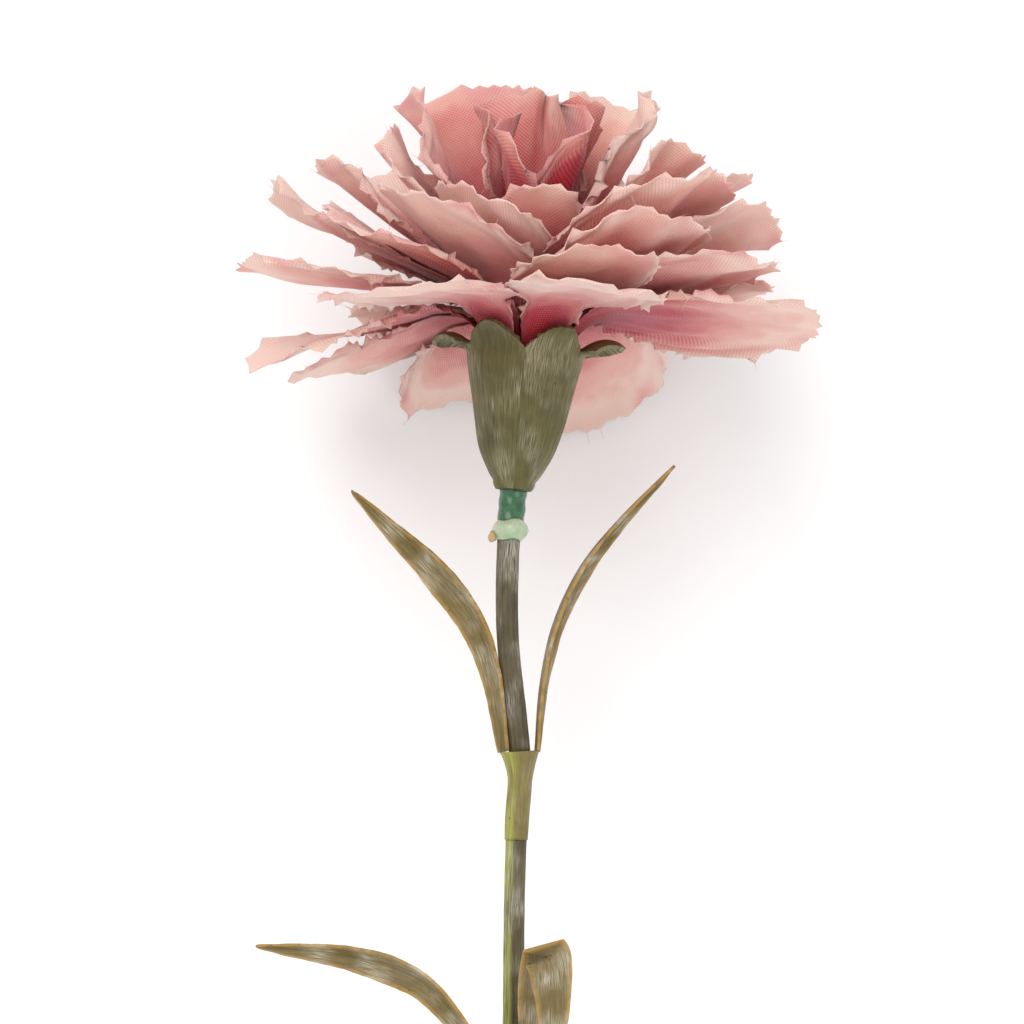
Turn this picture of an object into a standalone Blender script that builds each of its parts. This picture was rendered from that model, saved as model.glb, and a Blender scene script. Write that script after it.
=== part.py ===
"""Artificial carnation on a wired plastic stem, at rest on a flat surface.

The flower lies on its lower petals and on the cut end of its stem, with the
flower head towards +Y. Lengths in the tables below are millimetres; the
objects are built in metres, +Z up, with the origin under the middle of the
whole flower, on the surface it lies on.
"""

import math

import bmesh
import bpy
import numpy as np
from mathutils import Vector

MM = 0.001

# ---------------------------------------------------------------- dimensions
CLOTH = 0.3             # petal cloth, stiffened, thickness
HEAD_HEIGHT = 39.5      # calyx mouth above the surface
HEAD_TILT = 6.0         # degrees, the head end of the stem is the higher one
HEAD_LEAN = -5.0        # degrees, the head leans to +X on its stem
FLOOR_SOFT = 6.0        # petals bend flat over this height above the surface

PETAL_BASE_Y = -9.0     # petals are glued in this far below the calyx mouth
PETAL_RISE = 5.0        # straight claw of each petal
PETAL_BEND = 13.0       # length over which a petal turns outwards
SECTOR_END = 15.0       # up to here the petals of a ring stand side by side
RING_R0, RING_R1 = 0.8, 5.9   # claw radius of the innermost and step to the outermost

WIRE_R = 0.6
BORE_R = 0.95
STEM_TOP_R, STEM_END_R = 1.75, 1.6
STEM_END_Y = -322.0     # cut end, from the calyx mouth
NODE_1_Y, NODE_2_Y = -63.2, -118.5    # leaf nodes
SLEEVE = 12.5           # length of the sleeve under each leaf pair
GAP = 0.3

CALYX_WALL = 0.8
CALYX_BOTTOM = -23.6
NECK_TOP, NECK_BOTTOM = -23.9, -28.5
BEAD_BOTTOM = -31.2

# Rings of petals from the innermost: level between the upright centre (0) and
# the outermost flow line (1), then one row for each petal: azimuth (0 up,
# 90 towards +X, 180 down), length, half width, tilt, tip, cup and lean
RINGS = (
    (0.07, ((78, 46.5, 9.0, 0.036, 0.00, 0.00, 0),
            (-165, 48.0, 10.0, 0.036, 0.00, 0.00, 0),
            (-40, 43.0, 7.0, 0.036, 0.00, 0.00, 0))),
    (0.20, ((-138, 52.5, 19.0, 0.042, 0.00, 0.00, 0),
            (134, 52.0, 17.0, 0.042, 0.00, 0.00, 0),
            (2, 36.0, 8.0, 0.042, 0.00, 0.00, 0))),
    (0.31, ((178, 50.0, 16.0, 0.035, 0.00, -0.01, 0),
            (-88, 46.0, 12.0, 0.035, 0.00, -0.01, 0),
            (84, 46.0, 13.0, 0.035, 0.00, -0.01, 0),
            (-30, 38.0, 12.0, 0.042, 0.02, -0.01, 0))),
    (0.43, ((-115, 50.5, 17.0, 0.038, 0.00, -0.02, 0),
            (-48, 41.0, 15.0, 0.038, 0.00, -0.02, 0),
            (62, 46.0, 17.0, 0.038, 0.03, -0.03, 0),
            (108, 50.0, 15.0, 0.038, 0.00, -0.02, 0),
            (158, 48.0, 15.0, 0.038, 0.00, -0.02, 0),
            (-162, 48.0, 14.0, 0.038, 0.00, -0.02, 0))),
    (0.57, ((-96, 52.0, 14.0, 0.038, 0.00, -0.02, 0),
            (-64, 44.0, 12.0, 0.038, 0.00, -0.02, 0),
            (44, 42.0, 13.0, 0.038, 0.02, -0.02, 0),
            (90, 48.0, 15.0, 0.038, 0.00, -0.02, 0),
            (138, 47.0, 15.0, 0.038, 0.00, -0.02, 0),
            (-176, 44.0, 15.0, 0.038, 0.00, -0.02, 0),
            (-136, 46.0, 13.0, 0.038, 0.00, -0.02, 0))),
    (0.75, ((-84, 50.0, 14.0, 0.038, 0.00, -0.03, 0),
            (24, 38.0, 12.0, 0.042, 0.00, -0.02, 0),
            (68, 45.0, 12.0, 0.038, 0.00, -0.02, 0),
            (116, 46.0, 14.0, 0.038, 0.00, -0.02, 0),
            (166, 40.0, 14.0, 0.038, 0.00, -0.02, 0),
            (-144, 44.0, 13.0, 0.038, 0.00, -0.02, 0))),
    (0.93, ((-43, 43.0, 15.0, 0.055, 0.00, -0.03, 0),
            (22, 38.0, 13.0, 0.050, 0.10, -0.03, 0),
            (90, 48.5, 16.0, 0.045, 0.00, -0.03, 0),
            (162, 49.0, 14.0, 0.045, 0.00, -0.03, 0),
            (-164, 47.0, 13.0, 0.045, 0.00, -0.03, 0),
            (-128, 49.5, 8.5, 0.050, 0.00, -0.03, 0),
            (-104, 48.5, 8.5, 0.050, 0.00, -0.03, 0))),
)

# Columns of each petal's surface, its rows up to the end of the bend, and the
# number of rows after them
PETAL_U, PETAL_ROWS, PETAL_V = 8, (0.0, 5.0, 8.3, 11.6, 14.9, 18.2), 4


# ------------------------------------------------------------- petal surface
def opening(phi):
    """How far the outermost flow line turns from the flower's axis."""
    return np.radians(103.0 - 15.0 * np.cos(phi) - 9.0 * np.sin(phi))


def flow(level, phi, s):
    """(radius, height) s mm along the flow line of a level at an azimuth.

    Flow lines leave the plug side by side, rise out of the calyx and turn
    outwards, the outer ones furthest, and never meet. On the upper side the
    inner ones turn out further too, so that the flower opens that way.
    """
    front = (0.5 + 0.5 * np.cos(phi)) ** 2
    turn = np.maximum(level, 0.0) ** (1.0 - 0.5 * front) * opening(phi) + 0.02
    bend_r = PETAL_BEND / turn
    a = turn * np.clip((s - PETAL_RISE) / PETAL_BEND, 0.0, 1.0)
    out = np.maximum(s - PETAL_RISE - PETAL_BEND, 0.0)
    rho = RING_R0 + RING_R1 * level + bend_r * (1 - np.cos(a)) + out * np.sin(turn)
    y = PETAL_BASE_Y + np.minimum(s, PETAL_RISE) + bend_r * np.sin(a) + out * np.cos(turn)
    return rho, y


def ruffled(level, phi, s):
    """The level after the ruffles, which nest from one petal to the next."""
    grow = np.clip((s - 14.0) / 34.0, 0.0, 1.3) ** 1.5
    return level + grow * (
        0.030 * np.sin(3 * phi + 4 * level + 1.0)
        + 0.030 * np.sin(7 * phi - 5 * level + 0.06 * s + 2.1)
        + 0.012 * np.sin(12 * phi + 8 * level + 0.5)
    )


class Petal:
    """One cut of cloth: a narrow claw that fans out to a rounded edge."""

    def __init__(self, level, row, sector):
        az, self.length, self.half, self.tilt, self.tip, self.cup, lean = row
        self.level, self.sector = level, sector
        self.phi, self.lean = math.radians(az), math.radians(lean)

    def width(self, s):
        """Half width s mm from the claw's end: it keeps to its own sector of
        the ring near the plug, and laps over its neighbours further out."""
        f = np.clip(s / self.length / 0.8, 0.0, 1.0)
        fan = self.half * np.sin(0.5 * np.pi * f) ** 1.1 + 0.4
        around, _ = flow(self.level, self.phi, s)
        free = self.sector + np.maximum(s - SECTOR_END, 0.0) * 0.075
        return np.minimum(fan, around * np.minimum(free, 2.3))

    def end(self, u):
        return self.length * (1 - 0.05 * u**2 - 0.24 * np.abs(u) ** 6)

    def along(self, u, row):
        """Distance along the cloth of a row of the surface."""
        bent = len(PETAL_ROWS) - 1
        first = np.interp(row, np.arange(bent + 1), PETAL_ROWS)
        rest = (self.end(u) - PETAL_ROWS[-1]) * (row - bent) / PETAL_V
        return np.where(row <= bent, first, PETAL_ROWS[-1] + rest)

    def columns(self, n):
        """n + 1 values of u that space the outer edge evenly."""
        u = np.linspace(-1, 1, 801)
        s = self.end(u)
        x = u * self.width(s)
        run = np.concatenate([[0], np.cumsum(np.hypot(np.diff(x), np.diff(s)))])
        return np.interp(np.linspace(0, run[-1], n + 1), run, u)

    def place(self, x, s):
        """Flower coordinates of the cloth's point x across and s along."""
        u, v = x / self.width(s), s / self.length
        around, _ = flow(self.level, self.phi, s)
        phi = self.phi + self.lean * v**2 + x / around
        level = (
            self.level
            + self.tilt * u * np.clip((s - 9.0) / 8.0, 0.0, 1.0)
            + self.tip * v**3
            + self.cup * (u**2 - 0.3) * v**1.5
        )
        rho, y = flow(ruffled(level, phi, s), phi, s)
        return np.stack([rho * np.sin(phi), y, rho * np.cos(phi)], axis=-1)


def petals():
    """{name: Petal}, from the innermost ring outwards."""
    found = {}
    for r, (level, rows) in enumerate(RINGS, 1):
        for k, row in enumerate(rows, 1):
            away = [abs((row[0] - other[0] + 180) % 360 - 180) for other in rows if other is not row]
            found[f"petal_r{r}_{k}"] = Petal(level, row, 0.43 * math.radians(min(away)))
    return found


# ------------------------------------------------------- placing on the floor
def turned(points, lean=HEAD_LEAN, tilt=HEAD_TILT):
    """Head coordinates (+Y along the axis) to the way the flower lies."""
    a, b = math.radians(lean), math.radians(tilt)
    x, y, z = np.moveaxis(np.asarray(points, float), -1, 0)
    x, y = x * math.cos(a) - y * math.sin(a), x * math.sin(a) + y * math.cos(a)
    y, z = y * math.cos(b) - z * math.sin(b), y * math.sin(b) + z * math.cos(b)
    return np.stack([x, y, z + HEAD_HEIGHT], axis=-1)


def pressed(points):
    """Petals flatten where they meet the surface at z 0."""
    points = np.array(points, float)
    low = FLOOR_SOFT - (points[..., 2] - CLOTH)
    points[..., 2] = np.where(
        low > 0, CLOTH + FLOOR_SOFT * np.exp(-low / FLOOR_SOFT), points[..., 2]
    )
    return points


# ------------------------------------------------------------ Blender helpers
def material(name, colour, roughness, metallic=0.0):
    made = bpy.data.materials.new(name)
    made.use_nodes = True
    shader = made.node_tree.nodes["Principled BSDF"]
    shader.inputs["Base Color"].default_value = (*colour, 1.0)
    shader.inputs["Roughness"].default_value = roughness
    shader.inputs["Metallic"].default_value = metallic
    return made


def add(name, data, mat, shift):
    obj = bpy.data.objects.new(name, data)
    obj.location = shift
    PARTS.objects.link(obj)
    obj.data.materials.append(mat)
    return obj


def solidify(obj, thickness, offset=0.0):
    wall = obj.modifiers.new("wall", "SOLIDIFY")
    wall.thickness, wall.offset = thickness * MM, offset
    wall.use_even_offset = False
    return wall


def surface(name, columns, rows, place, around=False):
    """A grid of quads with each vertex put at place(column, row), in mm."""
    bm = bmesh.new()
    bmesh.ops.create_grid(bm, x_segments=columns, y_segments=rows, size=0.5)
    at = np.array([v.co for v in bm.verts])
    spot = place(
        np.rint((at[:, 0] + 0.5) * columns).astype(int),
        np.rint((at[:, 1] + 0.5) * rows).astype(int),
    )
    for v, p in zip(bm.verts, spot):
        v.co = Vector(p) * MM
    if around:
        bmesh.ops.remove_doubles(bm, verts=bm.verts, dist=1e-6)
    mesh = bpy.data.meshes.new(name)
    bm.to_mesh(mesh)
    bm.free()
    mesh.shade_smooth()
    return mesh


def face_out(mesh, inside):
    """Turns the surface's faces so that the first one faces away from a point."""
    face = mesh.polygons[0]
    if face.normal.dot(face.center - Vector(inside) * MM) < 0:
        mesh.flip_normals()
    return mesh


# ------------------------------------------------------------------ the stem
def stem_line():
    """Points down the middle of the stem, from the calyx to the cut end."""
    top = turned([0.0, CALYX_BOTTOM, 0.0])
    below = turned([0.0, BEAD_BOTTOM - 2.0, 0.0])
    end_z = STEM_END_R + 0.05
    knots = [top, below]
    for y, x in ((-46, -2.9), (NODE_1_Y, -1.1), (-74, -1.6), (-90, -2.0),
                 (NODE_2_Y, -2.0), (-160, -0.6), (-210, 1.4), (-265, 1.6), (STEM_END_Y, 0.4)):
        t = (below[1] - y) / (below[1] - STEM_END_Y)
        sag = 2.2 * math.sin(math.pi * t) * (1 - 0.4 * t)
        knots.append([x, y, below[2] + (end_z - below[2]) * t - sag])
    return smooth(knots, 1.5)


def smooth(knots, step):
    """A Catmull-Rom curve through the knots, with points about step apart."""
    p = np.array(knots, float)
    p = np.vstack([2 * p[0] - p[1], p, 2 * p[-1] - p[-2]])
    line = []
    for a, b, c, d in zip(p, p[1:], p[2:], p[3:]):
        n = max(2, int(np.linalg.norm(c - b) / step))
        t = np.linspace(0, 1, n, endpoint=False)[:, None]
        line.append(0.5 * (2 * b + (c - a) * t + (2 * a - 5 * b + 4 * c - d) * t**2
                           + (3 * b - a - 3 * c + d) * t**3))
    return np.vstack([*line, p[-2:-1]])


def between(line, y_top, y_bottom, step):
    """The stretch of the stem line between two values of y."""
    ys = line[:, 1]
    n = max(2, int(round((y_top - y_bottom) / step)) + 1)
    want = np.linspace(y_top, y_bottom, n)
    return np.stack([np.interp(-want, -ys, line[:, k]) for k in range(3)], axis=1)


def tube_curve(name, line, radii, caps, sides=2):
    """A bevelled curve through the points, with its own radius at each."""
    curve = bpy.data.curves.new(name, "CURVE")
    curve.dimensions, curve.bevel_depth, curve.bevel_resolution = "3D", MM, sides
    curve.use_fill_caps = caps
    spline = curve.splines.new("POLY")
    spline.points.add(len(line) - 1)
    for point, place, r in zip(spline.points, line, radii):
        point.co, point.radius = (*(place * MM), 1.0), r
    return curve


def sleeve_mesh(name, line, radii, sides=2):
    """The open tube around a line, for a wall to be added to."""
    curve = tube_curve(name, line, radii, False, sides)
    guide = bpy.data.objects.new(name + "_guide", curve)
    bpy.context.scene.collection.objects.link(guide)
    graph = bpy.context.evaluated_depsgraph_get()
    mesh = bpy.data.meshes.new_from_object(guide.evaluated_get(graph))
    bpy.data.objects.remove(guide)
    bm = bmesh.new()
    bm.from_mesh(mesh)
    bmesh.ops.remove_doubles(bm, verts=bm.verts, dist=1e-6)
    bmesh.ops.recalc_face_normals(bm, faces=bm.faces)
    bm.to_mesh(mesh)
    bm.free()
    mesh.shade_smooth()
    return mesh


def spun(name, profile, steps=20):
    """A turned piece from (radius, height) points, down its outer side first."""
    mesh = bpy.data.meshes.new(name)
    n = len(profile)
    mesh.from_pydata([(r * MM, 0, y * MM) for r, y in profile], [(i, (i + 1) % n) for i in range(n)], [])
    obj = bpy.data.objects.new(name + "_profile", mesh)
    bpy.context.scene.collection.objects.link(obj)
    screw = obj.modifiers.new("turn", "SCREW")
    screw.steps = screw.render_steps = steps
    screw.use_merge_vertices, screw.merge_threshold = True, 1e-6
    graph = bpy.context.evaluated_depsgraph_get()
    made = bpy.data.meshes.new_from_object(obj.evaluated_get(graph))
    bpy.data.objects.remove(obj)
    made.name = name
    # height along +Y of the head, then laid with it
    at = np.array([v.co for v in made.vertices]) / MM
    at = turned(np.stack([at[:, 0], at[:, 2], -at[:, 1]], axis=1))
    made.vertices.foreach_set("co", (at * MM).astype(np.float32).ravel())
    made.update()
    return made


# ------------------------------------------------------------------- calyx
CALYX_PROFILE = ((CALYX_BOTTOM, 2.75), (-22.4, 3.3), (-20.6, 4.3), (-17.8, 5.6), (-14.9, 6.45),
                 (-12.0, 7.15), (-9.0, 7.7), (-6.2, 8.2), (-4.0, 8.6))
# azimuth and length of each of the five lobes, which lie along the petals
LOBES = ((-36, 7.0), (36, 7.0), (108, 10.5), (180, 9.0), (-108, 11.0))
LOBE_DROP = 1.9         # outer face of a lobe, below the outermost flow line


def calyx_mesh():
    ys = np.array([p[0] for p in CALYX_PROFILE])
    rs = np.array([p[1] for p in CALYX_PROFILE])
    rows, top_rows, columns = len(ys) - 1, 4, 40

    def place(c, r):
        phi = 2 * np.pi * (c % columns) / columns
        mids = np.radians([a for a, _ in LOBES])
        away = np.abs((phi - mids[:, None] + np.pi) % (2 * np.pi) - np.pi)
        lobe = np.argmin(away, axis=0)
        mid, reach = mids[lobe], np.array([b for _, b in LOBES])[lobe]
        off = away.min(axis=0) / math.radians(36)
        tall = 1.6 + (reach - 1.6) * np.cos(0.5 * np.pi * np.clip(off, 0, 1)) ** 0.9
        d = np.clip((r - rows) / top_rows, 0, 1) * tall
        narrow = 1 - 0.3 * (d / reach) ** 2
        phi = mid + ((phi - mid + np.pi) % (2 * np.pi) - np.pi) * narrow
        # above the cup the wall follows the outermost flow line, a little below it
        s = PETAL_RISE + d
        a, b = flow(1.0, phi, s - 0.05), flow(1.0, phi, s + 0.05)
        run = np.hypot(b[0] - a[0], b[1] - a[1])
        rho, y = flow(1.0, phi, s)
        rho = rho + LOBE_DROP * (b[1] - a[1]) / run
        y = y - LOBE_DROP * (b[0] - a[0]) / run
        base = np.minimum(r, rows)
        rho = np.where(r < rows, rs[base], rho)
        y = np.where(r < rows, ys[base], y)
        return turned(np.stack([rho * np.sin(phi), y, rho * np.cos(phi)], axis=1))

    mesh = surface("calyx_cup", columns, rows + top_rows, place, around=True)
    return face_out(mesh, turned([0, -20, 0]))


# ------------------------------------------------------------------- leaves
# name, knots of the leaf's midrib from its base, half width, turn of its face
# at base and tip in degrees (0 faces up), fold of its halves in degrees
LEAVES = (
    ("leaf_upper_left", ((-3.6, -61.6, 32.6), (-5.2, -51.0, 33.2), (-8.2, -43.0, 33.8),
                         (-14.0, -35.5, 35.0), (-20.5, -29.3, 35.6), (-26.6, -23.2, 35.4)),
     2.7, (38, 10), 28),
    ("leaf_upper_right", ((1.5, -61.6, 32.2), (2.2, -52.5, 31.8), (4.2, -43.0, 30.6),
                          (8.4, -34.0, 29.8), (14.5, -26.5, 29.6), (22.6, -18.6, 30.6)),
     2.4, (-82, -66), 34),
    ("leaf_lower_left", ((-3.6, -115.0, 26.2), (-6.4, -109.0, 27.4), (-10.5, -102.5, 28.6),
                         (-16.5, -96.6, 28.6), (-26.0, -93.2, 27.4), (-41.0, -91.4, 25.6)),
     2.9, (60, 18), 30),
    ("leaf_lower_right", ((0.6, -115.5, 27.0), (1.0, -107.0, 29.5), (1.6, -98.4, 34.0),
                          (2.8, -94.2, 38.2), (3.6, -97.0, 42.2), (3.8, -105.0, 43.4),
                          (3.0, -114.5, 41.0)),
     3.6, (-30, 0), 12),
)
LEAF_WALL = 0.6


def leaf_mesh(name, knots, half, faces, fold, columns=4, rows=14):
    line = smooth(knots, 0.5)
    run = np.concatenate([[0], np.cumsum(np.linalg.norm(np.diff(line, axis=0), axis=1))])
    want = np.linspace(0, run[-1], rows + 1)
    line = np.stack([np.interp(want, run, line[:, k]) for k in range(3)], axis=1)
    along = np.gradient(line, axis=0)
    along /= np.linalg.norm(along, axis=1)[:, None]
    # the leaf's face starts square to its run and to the side, then turns
    side = np.cross(along, [0.0, 0.0, 1.0])
    for i in range(rows + 1):
        if i and side[i] @ side[i - 1] < 0:
            side[i] = -side[i]
    weak = np.linalg.norm(side, axis=1)
    for i in range(1, rows + 1):
        if weak[i] < 0.35:
            side[i] = side[i - 1] - along[i] * (side[i - 1] @ along[i])
    side /= np.linalg.norm(side, axis=1)[:, None]
    up = np.cross(side, along)
    t = np.linspace(0, 1, rows + 1)
    turn = np.radians(faces[0] + (faces[1] - faces[0]) * t)[:, None]
    side, up = side * np.cos(turn) + up * np.sin(turn), up * np.cos(turn) - side * np.sin(turn)
    broad = half * (0.42 + 0.58 * np.sin(np.pi * np.clip(t / 0.62, 0, 1) / 2) ** 1.2)
    broad *= np.clip((1.0 - t) / 0.42, 0, 1) ** 0.75 * 0.96 + 0.04

    def place(c, r):
        across = (c - columns / 2) / (columns / 2)
        f = math.radians(fold)
        w = broad[r] * across
        return (line[r] + side[r] * (w * math.cos(f))[:, None]
                + up[r] * (np.abs(w) * math.sin(f))[:, None])

    return surface(name, columns, rows, place)


# --------------------------------------------------------------------- build
def build():
    global PARTS
    for obj in list(bpy.data.objects):
        bpy.data.objects.remove(obj)
    PARTS = bpy.data.collections.new("artificial_carnation")
    bpy.context.scene.collection.children.link(PARTS)

    cloth = [
        material(f"petal_cloth_{i}", c, 0.75)
        for i, c in enumerate(((0.62, 0.16, 0.19), (0.72, 0.30, 0.29), (0.80, 0.44, 0.40)))
    ]
    olive = material("calyx_plastic", (0.13, 0.12, 0.035), 0.45)
    leaf = material("leaf_plastic", (0.26, 0.20, 0.08), 0.55)
    bark = material("stem_plastic", (0.20, 0.17, 0.10), 0.55)
    dark = material("neck_tape_green", (0.02, 0.10, 0.035), 0.3)
    glue = material("glue_pale_green", (0.38, 0.50, 0.33), 0.25)
    steel = material("wire_steel", (0.55, 0.55, 0.56), 0.35, 1.0)
    plug = material("plug_plastic", (0.55, 0.12, 0.14), 0.5)

    solids = []
    for name, petal in petals().items():
        us = petal.columns(PETAL_U)

        def place(c, r, petal=petal, us=us):
            s = petal.along(us[c], r)
            return pressed(turned(petal.place(us[c] * petal.width(s), s)))

        ring = int(name[7])
        obj = add(name, surface(name, PETAL_U, len(PETAL_ROWS) - 1 + PETAL_V, place), cloth[(ring - 1) // 3], (0, 0, 0))
        solidify(obj, CLOTH)
        solids.append(obj)

    calyx = add("calyx_cup", calyx_mesh(), olive, (0, 0, 0))
    solidify(calyx, CALYX_WALL, -1.0)
    inner = np.array(CALYX_PROFILE)
    wall = [(np.interp(y, inner[:, 0], inner[:, 1]) - CALYX_WALL - 0.55, y)
            for y in (PETAL_BASE_Y - 0.6, -12.5, -15.5, -18.5, -21.0, -22.6)]
    add("petal_plug", spun("petal_plug", [*wall, (BORE_R, -22.6), (BORE_R, -16.0), (0.0, -16.0), (0.0, wall[0][1])]), plug, (0, 0, 0))
    add("neck_tape", spun("neck_tape", [(2.15, NECK_TOP), (2.0, -26.2), (2.0, NECK_BOTTOM), (BORE_R, NECK_BOTTOM), (BORE_R, NECK_TOP)]), dark, (0, 0, 0))
    add("glue_bead", spun("glue_bead", [(2.1, NECK_BOTTOM - GAP), (2.75, -29.3), (2.85, -29.9), (2.6, -30.7), (2.0, BEAD_BOTTOM), (BORE_R, BEAD_BOTTOM), (BORE_R, NECK_BOTTOM - GAP)]), glue, (0, 0, 0))

    line = stem_line()
    top_y = turned([0, BEAD_BOTTOM - GAP, 0])[1]
    wire_top = turned([0, -17.0, 0])
    wire = np.vstack([[wire_top], between(line, line[0, 1] - 0.5, STEM_END_Y, 6.0)])
    add("stem_wire", tube_curve("stem_wire", wire, [WIRE_R] * len(wire), True), steel, (0, 0, 0))

    def stretch(name, y0, y1, radius, mat, step):
        mid = between(line, y0, y1, step)
        mesh = sleeve_mesh(name, mid, [radius(y) for y in mid[:, 1]])
        obj = add(name, mesh, mat, (0, 0, 0))
        obj.modifiers.clear()
        # the wall goes inwards, to the wire's bore where the stem is thinnest
        solidify(obj, min(radius(y) for y in mid[:, 1]) - BORE_R, -1.0)

    def stem_r(y):
        return STEM_TOP_R + (STEM_END_R - STEM_TOP_R) * min(1.0, (top_y - y) / 40.0)

    def sleeve_r(node):
        """A sleeve widens into a cup around the feet of its two leaves."""
        return lambda y: 1.9 + 1.1 * max(0.0, 1 - (node + 1.0 - GAP - y) / 4.5) ** 1.5

    stretch("stem_upper", top_y, NODE_1_Y + 1.0, stem_r, bark, 5.0)
    stretch("stem_middle", NODE_1_Y - SLEEVE - GAP, NODE_2_Y + 1.0, stem_r, bark, 6.0)
    stretch("stem_lower", NODE_2_Y - SLEEVE - GAP, STEM_END_Y, stem_r, bark, 8.0)
    for name, y in (("leaf_sleeve_upper", NODE_1_Y), ("leaf_sleeve_lower", NODE_2_Y)):
        stretch(name, y + 1.0 - GAP, y - SLEEVE, sleeve_r(y), leaf, 1.6)

    for name, knots, half, faces, fold in LEAVES:
        obj = add(name, leaf_mesh(name, knots, half, faces, fold), leaf, (0, 0, 0))
        solidify(obj, LEAF_WALL)

    # the origin goes under the middle of the whole, on the surface
    bpy.context.view_layer.update()
    graph = bpy.context.evaluated_depsgraph_get()
    at = []
    for obj in PARTS.objects:
        shown = obj.evaluated_get(graph)
        mesh = shown.to_mesh()
        at.append(np.array([v.co for v in mesh.vertices]))
        shown.to_mesh_clear()
    at = np.vstack(at)
    low, high = at.min(0), at.max(0)
    shift = Vector((-(low[0] + high[0]) / 2, -(low[1] + high[1]) / 2, -low[2]))
    for obj in PARTS.objects:
        obj.location = shift
    return shift


build()
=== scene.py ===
import math
import random

import bmesh
import bpy
import numpy as np
from mathutils import Matrix, Vector
from mathutils.bvhtree import BVHTree


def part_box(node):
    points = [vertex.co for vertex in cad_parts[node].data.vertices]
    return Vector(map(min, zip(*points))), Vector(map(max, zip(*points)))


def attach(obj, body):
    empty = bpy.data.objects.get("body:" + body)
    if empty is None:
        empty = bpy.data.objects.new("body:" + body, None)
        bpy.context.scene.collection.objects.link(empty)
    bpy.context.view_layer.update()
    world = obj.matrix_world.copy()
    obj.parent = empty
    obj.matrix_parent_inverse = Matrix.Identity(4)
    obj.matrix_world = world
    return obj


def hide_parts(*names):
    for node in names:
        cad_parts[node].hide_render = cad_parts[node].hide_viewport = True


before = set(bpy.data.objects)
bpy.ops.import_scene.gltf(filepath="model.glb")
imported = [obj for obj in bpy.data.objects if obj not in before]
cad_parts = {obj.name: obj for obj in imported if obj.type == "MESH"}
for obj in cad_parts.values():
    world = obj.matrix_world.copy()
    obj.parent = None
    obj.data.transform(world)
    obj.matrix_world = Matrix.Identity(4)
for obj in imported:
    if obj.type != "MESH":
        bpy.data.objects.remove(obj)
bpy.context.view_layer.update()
MM = 0.001

# ---------------------------------------------------------------- dimensions
HEAD_HEIGHT, HEAD_TILT, HEAD_LEAN = 39.5, 6.0, -5.0
CLOTH, FLOOR_SOFT = 0.3, 6.0
PETAL_BASE_Y, PETAL_RISE, PETAL_BEND, SECTOR_END = -9.0, 5.0, 13.0, 15.0
RING_R0, RING_R1 = 0.8, 5.9
CALYX_BOTTOM, NECK_TOP, NECK_BOTTOM, BEAD_BOTTOM = -23.6, -23.9, -28.5, -31.2
STEM_TOP_R, STEM_END_R, STEM_END_Y = 1.75, 1.6, -322.0
NODE_1_Y, NODE_2_Y, SLEEVE, GAP = -63.2, -118.5, 12.5, 0.3

CALYX_PROFILE = ((CALYX_BOTTOM, 2.75), (-22.4, 3.3), (-20.6, 4.3), (-17.8, 5.6), (-14.9, 6.45),
                 (-12.0, 7.15), (-9.0, 7.7), (-6.2, 8.2), (-4.0, 8.6))
LOBES = ((-36, 7.0), (36, 7.0), (104, 13.5), (180, 9.0), (-104, 13.0))
LOBE_DROP = 1.9

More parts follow.
